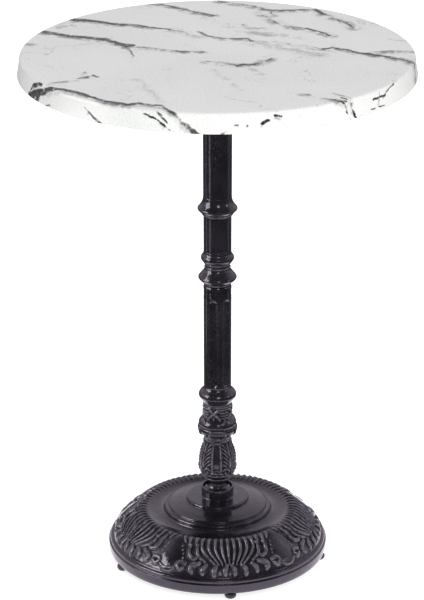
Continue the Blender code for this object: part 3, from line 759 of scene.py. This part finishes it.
# Beads along both edges of each leaf: angle, radius and half width.
LEAF_BEADS = ((30.8, 178.0, 2.0), (29.6, 184.6, 2.2), (28.6, 191.2, 2.4), (28.0, 197.8, 2.4))
LEAF_RISE = 3.0
RELIEF_INNER = 145.0
RELIEF_OUTER = 220.0
RELIEF_LOW = 46.0
STROKE_START = 149.5


def base_relief(turn, radius, height):
    """Five fans of ribs that close downward, each between plain leaves ringed by rolled strokes."""
    off = folded(turn, BASE_PHASE, BASE_FANS)
    x = radius * np.sin(np.radians(off))
    y = radius * np.cos(np.radians(off))

    def polar(points):
        return [(r * math.sin(math.radians(a)), r * math.cos(math.radians(a))) for a, r in points]

    beside = LEAF_ANGLE - off
    reach = np.interp(radius, LEAF_RADII, LEAF_REACH)
    within = np.clip(1 - (beside / reach) ** 2, 0, 1)
    stand = LEAF_RISE * within ** 0.5 * ((radius > LEAF_RADII[0]) & (radius < LEAF_RADII[-1]))
    drawn = [(polar(points), widths, rise) for points, widths, rise in FAN_STROKES]
    for angle in FINGER_ANGLES:
        end = 178 - max(0, angle - 26) * 1.6
        middle = (STROKE_START + end) / 2
        curl = 1.6 if angle < LEAF_ANGLE else 0.0
        finger = [(angle, STROKE_START), (angle + 0.7, middle - 3), (angle - 0.2, end - 6),
                  (angle - curl, end)]
        drawn.append((polar(finger), (3.6, 4.5, 4.0, 2.2), 5.0))
    for angle in RIB_ANGLES:
        rib = [(angle, STROKE_START), (angle * 1.05, 166), (angle, 180), (angle * 0.77, 193),
               (angle * 0.5, 204)]
        drawn.append((polar(rib), (3.2, 4.1, 4.1, 3.4, 2.4), 5.0))
    for from_angle, from_r, to_angle, to_r, narrow, wide, rise in FAN_DROPS:
        drawn.append((polar([(from_angle, from_r), (to_angle, to_r)]), (narrow, wide), rise))
    for angle, r, size in LEAF_BEADS:
        drawn.append((polar([(angle, r), (angle, r + 0.8)]), (size, size), 4.6))
    stand = np.maximum(stand, strokes(x, y, *drawn))
    stand = stand * np.clip((radius - 146) / 20, 0.15, 1)
    carved = (radius > RELIEF_INNER) & (radius < RELIEF_OUTER) & (height > RELIEF_LOW)
    return np.where(carved, stand, 0.0)


def base():
    """The dished base, outside from the socket down to the foot, then the hollow back up."""
    outer = join(
        [(30.5, 152.7), (31.0, 153.3), (32.0, 153.5), (33.4, 153.4), (34.1, 152.8), (34.2, 152.0)],
        [(34.2, 134.4)],
        spline([(34.3, 133.0), (35.0, 131.8), (36.4, 131.2)]),
        spline([(38.0, 131.0), (50.0, 130.7), (60.2, 130.5)], 3),
        arc((61.2, 125.9), 4.6, 92, 4, 8),
        spline([(66.0, 124.8), (66.5, 123.6), (67.6, 122.8), (69.0, 122.3)]),
        spline([(72.0, 121.8), (86.0, 119.2), (98.4, 116.0)], 3),
        arc((100.0, 112.1), 3.5, 80, 2, 7),
        [(103.7, 111.3), (104.3, 110.5), (105.4, 110.2)],
        arc((108.2, 106.3), 4.3, 108, -22, 9),
        spline([(112.6, 103.4), (113.8, 100.8), (117.4, 98.3), (124.0, 96.9), (132.0, 96.6), (140.0, 97.8),
                (144.0, 98.9)]),
        spline([(146.0, 99.4), (152.0, 101.2), (158.0, 101.6), (164.0, 99.8), (172.0, 95.2), (180.0, 89.0),
                (188.0, 82.6), (195.0, 76.6), (203.0, 69.2), (210.0, 62.2), (215.0, 56.2), (218.6, 50.6)]),
        [(219.8, 48.2), (220.8, 45.6), (221.4, 44.0), (222.2, 43.5)],
        arc((223.8, 39.0), 4.5, 108, -22, 9),
        [(228.0, 36.6), (228.1, 35.4)],
        spline([(228.5, 34.7), (229.4, 34.3), (230.2, 34.1)]),
        arc((230.0, 32.6), 1.5, 72, 0, 4),
        [(231.5, 31.6), (231.5, 23.0), (231.3, 20.5)],
        spline([(230.9, 18.0), (230.2, 15.6), (229.0, 13.6)]),
        [(228.3, 12.8), (227.6, 12.5)],
    )
    inner = [(223.0, 12.5), (223.0, 30.0), (219.0, 42.0), (210.0, 54.5), (195.0, 70.5), (180.0, 82.0),
             (168.0, 89.5), (156.0, 93.0), (135.0, 89.5), (116.5, 91.0), (108.0, 97.5), (100.0, 108.0),
             (70.0, 114.0), (62.0, 118.5), (59.0, 123.0), (35.0, 124.0), (30.0, 121.0), (27.0, 85.0),
             (7.5, 85.0), (7.5, 138.5), (29.5, 138.5), (30.5, 139.5)]
    line = []
    for start, end in zip(outer[:-1], outer[1:]):
        middle = (start[0] + end[0]) / 2
        fine = RELIEF_INNER - 2 < middle < RELIEF_OUTER and start[1] > RELIEF_LOW
        line += spaced([start, end], 0.85 if fine else 6.0, closed=False)[:-1]
    line.append(outer[-1])
    outside = len(line)
    line += spaced(inner, 12.0, closed=False)

    def relief(turn, radius, height):
        return base_relief(turn, radius, height) * (np.arange(len(line)) < outside)[:, None]

    piece = turned("cast_base", line, 960, ENAMEL, relief=relief)
    place(piece, BODY, "base_casting")


# --- the top ---
def table_top():
    """The moulded top with a rounded edge and a flared rim, open underneath."""
    rim = TOP_RADIUS / MM
    high = HEIGHT / MM
    rim_inside, backing = 0.3915, HEIGHT - 0.010
    outline = join(
        [(20, high), (60, high), (120, high), (200, high), (280, high), (340, high), (376, high)],
        spline([(387.6, high), (390.8, high - 0.3), (393.0, high - 1.4), (394.4, high - 3.3),
                (395.1, high - 6.0), (395.6, high - 11.0)]),
        spline([(396.2, high - 16.0), (397.6, high - 26.0), (399.2, high - 35.5)]),
        arc((rim - 2.0, high - 38.0), 2.0, 10, -90, 5),
        [(392.6, high - 40.0)],
        arc((391.4, high - 38.6), 1.4, -90, -180, 4),
        [(389.9, high - 30.0)],
        arc((378.0, high - 26.0), 8.0, 10, 90, 6),
        [(360, high - 18.0), (300, high - 18.0), (200, high - 18.0), (120, high - 18.0), (60, high - 18.0),
         (20, high - 18.0)],
    )
    piece = turned("moulded_top", outline, 288, MARBLE, ring=False, sharp=50)
    piece.data.materials.append(UNDERSIDE)
    for face in piece.data.polygons:
        inside = math.hypot(face.center.x, face.center.y) < rim_inside
        face.material_index = int(inside and face.center.z < backing)
    place(piece, BODY, "table_top")


# --- feet and fastenings ---
THREAD_PITCH = 1.75
THREAD_DEPTH = 0.45
THREAD_LENGTH = 36.0
ROD_RADIUS = 6.0
WASHER_HOLE = 6.3
NUT_FLATS = 19.0
NUT_CHAMFER = 1.3
SCREW_HEAD = 3.0
SCREW_SHANK_RADIUS = 2.1


def foot_pads():
    """Round moulded glides with a domed sole, each on its own foot."""
    outline = join(
        [(4.3, 12.2), (9.4, 12.2)],
        spline([(9.4, 12.2), (11.3, 11.4), (12.4, 9.2), (12.4, 6.4), (11.3, 3.2), (9.0, 1.0),
                (6.0, 0.15), (3.0, 0.0)], 4),
        [(1.0, 0.0)],
    )
    outline = [(1.0, 5.7), (4.3, 5.7)] + outline
    for number in range(1, 6):
        low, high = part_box(f"foot_pad_{number}")
        centre = ((low.x + high.x) / 2, (low.y + high.y) / 2)
        piece = turned(f"domed_pad_{number}", outline, 48, PLASTIC, ring=False, centre=centre)
        place(piece, f"foot_{number}", f"foot_pad_{number}")


def tie_rod():
    """The rod. Its right-hand thread is modelled only at its lower end, where it can be seen."""
    low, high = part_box("tie_rod")
    bottom, top = low.z / MM, high.z / MM
    line = [(ROD_RADIUS - 1.0, bottom), (ROD_RADIUS, bottom + 1.0)]
    line += spaced([(ROD_RADIUS, bottom + 1.0), (ROD_RADIUS, bottom + THREAD_LENGTH)], 0.3, closed=False)
    line += [(ROD_RADIUS, bottom + 200.0), (ROD_RADIUS, top - 200.0), (ROD_RADIUS, top - 1.0),
             (ROD_RADIUS - 1.0, top)]

    def thread(turn, radius, height):
        wave = np.cos(2 * math.pi * (height / THREAD_PITCH - turn / 360))
        cut = (height > bottom + 1.2) & (height < bottom + THREAD_LENGTH - 0.5)
        return np.where((radius > ROD_RADIUS - 0.1) & cut, -0.5 * THREAD_DEPTH * (1 - wave), 0.0)

    piece = turned("threaded_rod", line, 24, STEEL, ring=False, relief=thread)
    place(piece, BODY, "tie_rod")


def washers():
    """Flat washers with rounded edges."""
    for end in ("top", "bottom"):
        low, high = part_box(f"{end}_washer")
        bottom, top, outer = low.z / MM, high.z / MM, high.x / MM
        line = [(WASHER_HOLE, bottom), (outer - 0.6, bottom), (outer - 0.15, bottom + 0.2),
                (outer, bottom + 0.6), (outer, top - 0.6), (outer - 0.15, top - 0.2),
                (outer - 0.6, top), (WASHER_HOLE, top)]
        piece = turned(f"flat_{end}_washer", line, 64, STEEL)
        place(piece, BODY, f"{end}_washer")


def nuts():
    """Hexagon nuts, each face chamfered back to a round."""
    columns, levels = 96, (0.25, 0.5, 0.75, 1.0)
    hole, hole_mouth = 6.3, 6.8
    half = NUT_FLATS / 2
    sixth = math.pi / 3
    turn = np.arange(columns) * 2 * math.pi / columns
    hexagon = half / np.cos((turn + sixth / 2) % sixth - sixth / 2)
    face_radius = half - 0.2

    def circle(radius):
        return np.full(columns, radius)

    def chamfered(level):
        return np.minimum(hexagon, face_radius + level * NUT_CHAMFER * 1.6)

    for end in ("top", "bottom"):
        low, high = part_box(f"{end}_nut")
        bottom, top = low.z / MM, high.z / MM
        rows = [(circle(hole), bottom + 0.3), (circle(hole_mouth), bottom),
                (circle(face_radius), bottom)]
        rows += [(chamfered(level), bottom + level * NUT_CHAMFER * 0.8) for level in levels]
        rows += [(chamfered(level), top - level * NUT_CHAMFER * 0.8) for level in levels[::-1]]
        rows += [(circle(face_radius), top), (circle(hole_mouth), top), (circle(hole), top - 0.3)]
        verts = []
        faces = []
        for row, (radii, height) in enumerate(rows):
            x, y = radii * MM * np.sin(turn), -radii * MM * np.cos(turn)
            verts += [(*corner, height * MM) for corner in zip(x, y)]
            faces += band(row, (row + 1) % len(rows), columns)
        piece = new_object(f"hex_{end}_nut", verts, faces, STEEL, 25)
        place(piece, BODY, f"{end}_nut")


def top_screws():
    """Pan-head screws with a cross recess, up through the arms into the top."""
    cross_radius, slot_half_width, depth = 2.5, 0.55, 1.1

    def recess(turn, radius, height):
        across = radius * np.sin(np.radians(folded(turn, 0.0, 4)))
        cut = (height < head_low + 0.9) & (radius < cross_radius) & (across < slot_half_width)
        return np.where(cut, -depth, 0.0)

    for number in range(1, 9):
        low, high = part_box(f"top_screw_{number}")
        centre = ((low.x + high.x) / 2, (low.y + high.y) / 2)
        head_low, tip = low.z / MM, high.z / MM
        head_top = head_low + SCREW_HEAD
        line = [(0.3, head_low), (0.8, head_low), (1.4, head_low), (1.9, head_low + 0.05),
                (2.4, head_low + 0.1), (2.9, head_low + 0.25), (3.5, head_low + 0.55),
                (4.1, head_low + 1.1), (4.45, head_low + 1.9), (4.5, head_top),
                (SCREW_SHANK_RADIUS, head_top), (SCREW_SHANK_RADIUS, tip - 3.0), (0.6, tip)]
        piece = turned(f"pan_screw_{number}", line, 64, STEEL, ring=False, relief=recess, centre=centre)
        place(piece, BODY, f"top_screw_{number}")


def cad_solids():
    """The foot studs and the spider are shown as their CAD solids, with the new materials."""
    for name, node in frame["nodes"].items():
        if node.hide_render:
            continue
        surface = STEEL if name.startswith("foot_stud") else ENAMEL
        node.data.materials.clear()
        node.data.materials.append(surface)


column_castings()
base()
table_top()
foot_pads()
tie_rod()
washers()
nuts()
top_screws()
cad_solids()


# --- stage, lights and camera ---
def area_light(name, where, towards, size, power):
    """A rectangular lamp turned towards a point."""
    lamp = bpy.data.lights.new(name, "AREA")
    lamp.shape = "RECTANGLE"
    lamp.size, lamp.size_y = size
    lamp.energy = power
    made = bpy.data.objects.new(name, lamp)
    made.location = where
    made.rotation_euler = (Vector(towards) - Vector(where)).to_track_quat("-Z", "Y").to_euler()
    bpy.context.scene.collection.objects.link(made)
    return made


WHITE = (1.0, 1.0, 1.0)
# What the gloss shows of the floor and the sky is a little purple, as in the photograph.
GLOSS_TINT = (1.0, 0.92, 1.06)


def floor():
    """A white floor. The near part shows in the gloss and the far part does not.

    It is clear from below, so that the underside can be looked at.
    """
    white, tree, shader, _ = material("floor_white", Roughness=0.9, Specular_IOR_Level=0.1)
    shader.inputs["Base Color"].default_value = (0.60, 0.60, 0.60, 1.0)
    in_gloss = wire(tree, "ShaderNodeLightPath").outputs["Is Glossy Ray"]
    glow = maths(tree, "ADD", 0.72, maths(tree, "MULTIPLY", in_gloss, 0.60))
    tree.links.new(glow, shader.inputs["Emission Strength"])
    tint = blend_colour(tree, in_gloss, WHITE, GLOSS_TINT)
    tree.links.new(tint, shader.inputs["Emission Color"])
    from_below = wire(tree, "ShaderNodeNewGeometry").outputs["Backfacing"]
    tree.links.new(maths(tree, "SUBTRACT", 1.0, from_below), shader.inputs["Alpha"])
    near, far, sides = 0.60, 30.0, 96
    rings = {"floor_near": (0.0, near), "floor_far": (near, far)}
    for name, (start, end) in rings.items():
        verts = []
        for radius in (start, end):
            for side in range(sides):
                turn = 2 * math.pi * side / sides
                verts.append((radius * math.cos(turn), radius * math.sin(turn), 0.0))
        faces = band(0, 1, sides, -1)
        if start == 0.0:
            verts, faces = verts[sides:], [tuple(range(sides))]
        part = new_object(name, verts, faces, white)
        part.visible_glossy = start == 0.0


def sky():
    """White to the camera, soft from above for plain surfaces, and mostly behind in the gloss."""
    world = bpy.data.worlds.new("studio")
    bpy.context.scene.world = world
    world.use_nodes = True
    tree = world.node_tree
    tree.nodes.clear()
    direction = wire(tree, "ShaderNodeTexCoord").outputs["Generated"]
    split = wire(tree, "ShaderNodeSeparateXYZ", {0: direction}).outputs
    ray = wire(tree, "ShaderNodeLightPath").outputs
    soft = remap(tree, split["Z"], -0.05, 0.42, 0.08, 1.0)
    rising = remap(tree, split["Z"], -0.12, 0.24, 0.10, 0.86)
    behind = remap(tree, split["Y"], -0.3, 0.2, 0.12, 1.0)
    not_overhead = remap(tree, split["Z"], 0.70, 0.94, 1.0, 0.2)
    backdrop = maths(tree, "MULTIPLY", maths(tree, "MULTIPLY", rising, behind), not_overhead)
    level = maths(tree, "MAXIMUM", backdrop, maths(tree, "MULTIPLY", soft, ray["Is Diffuse Ray"]))
    strength = maths(tree, "MAXIMUM", level, ray["Is Camera Ray"])
    tint = blend_colour(tree, ray["Is Glossy Ray"], WHITE, GLOSS_TINT)
    shown = wire(tree, "ShaderNodeBackground", {"Color": tint, "Strength": strength})
    wire(tree, "ShaderNodeOutputWorld", {"Surface": shown.outputs[0]})


def lights():
    """A softbox that only lights, and panes and strips that are only seen in the gloss."""
    front = area_light("front_softbox", (1.8, -4.6, 2.0), (0.0, 0.0, 0.8), (3.0, 1.8), 120)
    front.visible_glossy = False
    # Name, place, size and power.
    glints = [
        ("front_glint", (0.5, -3.9, 3.2), (1.1, 0.9), 22),
        ("left_strip", (-1.15, -0.55, 0.60), (0.22, 1.15), 1.6),
        ("left_edge_strip", (-1.05, 0.25, 0.60), (0.08, 1.15), 0.45),
        ("right_strip", (1.20, 0.25, 0.60), (0.16, 1.15), 0.3),
    ]
    for column in range(2):
        for row in range(4):
            turn = math.radians(-84 + 17 * column)
            where = (3.8 * math.sin(turn), -3.8 * math.cos(turn), 1.15 + 0.78 * row)
            glints.append((f"left_pane_{column}_{row}", where, (0.92, 0.66), 18))
    glints.append(("right_pane", (3.6, -1.0, 2.2), (0.8, 0.7), 8))
    for name, where, size, power in glints:
        lamp = area_light(name, where, (0.0, 0.0, 0.6), size, power)
        lamp.visible_diffuse = False


CAMERA_PLACE = (0.0, -5.240, 2.658)
CAMERA_DOWN = 21.68
CAMERA_LENS = 163.9
CAMERA_SHIFT = -0.00917


def camera():
    """The photograph's view: from the front, looking down."""
    data = bpy.data.cameras.new("camera")
    data.sensor_width = 36.0
    data.lens = CAMERA_LENS
    data.shift_x = CAMERA_SHIFT
    made = bpy.data.objects.new("camera", data)
    made.location = CAMERA_PLACE
    made.rotation_euler = (math.radians(90 - CAMERA_DOWN), 0.0, 0.0)
    bpy.context.scene.collection.objects.link(made)
    bpy.context.scene.camera = made


floor()
sky()
lights()
camera()
bpy.context.scene.view_settings.view_transform = "Standard"
